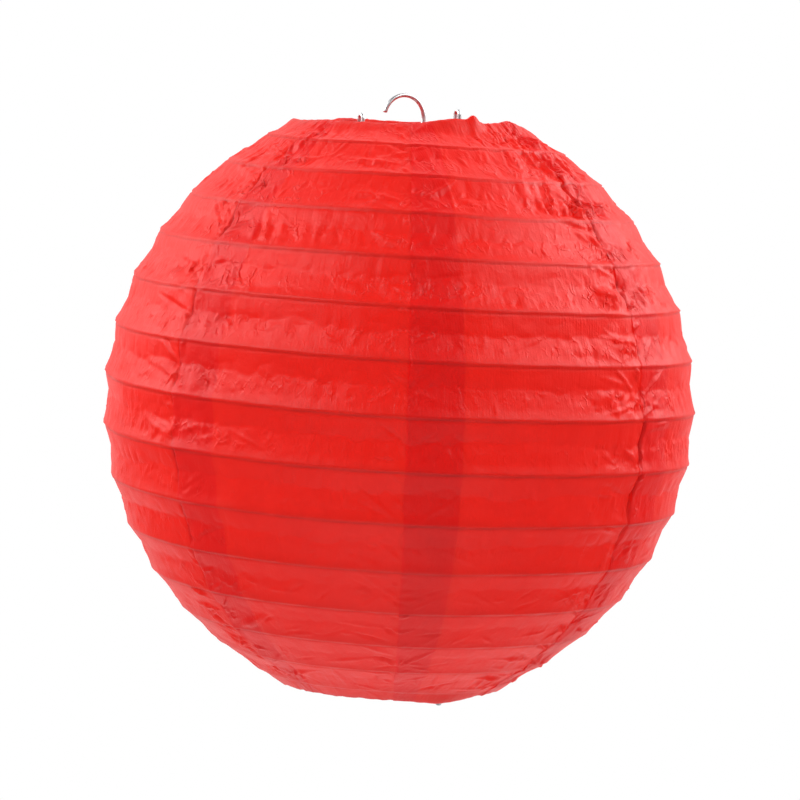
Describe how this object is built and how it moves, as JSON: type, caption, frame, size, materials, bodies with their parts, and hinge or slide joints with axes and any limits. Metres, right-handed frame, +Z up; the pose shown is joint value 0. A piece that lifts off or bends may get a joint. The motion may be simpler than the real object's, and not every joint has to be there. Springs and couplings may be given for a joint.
{
  "type": "paper lantern",
  "caption": "Round red paper lantern shade on a spiral wire rib and two open rings, held taut by a bent wire expander with a hanging hook.",
  "frame": {"origin": "the hang point, on the inner side of the hook's arc, on the lantern's vertical axis", "axes": "+Z up along the lantern's axis, +X along the expander's top bar, +Y towards the hook's stem"},
  "size_m": [0.2992, 0.2991, 0.3047],
  "materials": {
    "red_paper": "thin satin tissue paper, dyed red, glued in overlapping gores",
    "expander_wire": "bright drawn steel wire",
    "ring_wire": "galvanised steel wire",
    "rib_wire": "thin galvanised steel wire"
  },
  "bodies": {
    "hook": {"hanging_hook": "expander_wire"},
    "expander": {"expander_frame": "expander_wire"},
    "shade": {"top_ring": "ring_wire", "spiral_rib": "rib_wire", "gore_1": "red_paper", "gore_2": "red_paper", "gore_3": "red_paper", "gore_4": "red_paper", "gore_5": "red_paper", "gore_6": "red_paper", "gore_7": "red_paper"},
    "lower_ring": {"bottom_ring": "ring_wire"}
  },
  "joints": [
    {"name": "hook_swing", "type": "hinge", "parent": "hook", "child": "expander", "pos_m": [0, 0, -0.0193], "axis": [1, 0, 0], "range_deg": [-90, 90]},
    {"name": "shade_turn", "type": "hinge", "parent": "expander", "child": "shade", "pos_m": [0, 0, -0.1552], "axis": [0, 0, 1], "continuous": true},
    {"name": "collapse", "type": "slide", "parent": "shade", "child": "lower_ring", "axis": [0, 0, 1], "range_m": [0, 0.255], "deforming": ["gore_1", "gore_2", "gore_3", "gore_4", "gore_5", "gore_6", "gore_7", "spiral_rib"]}
  ]
}
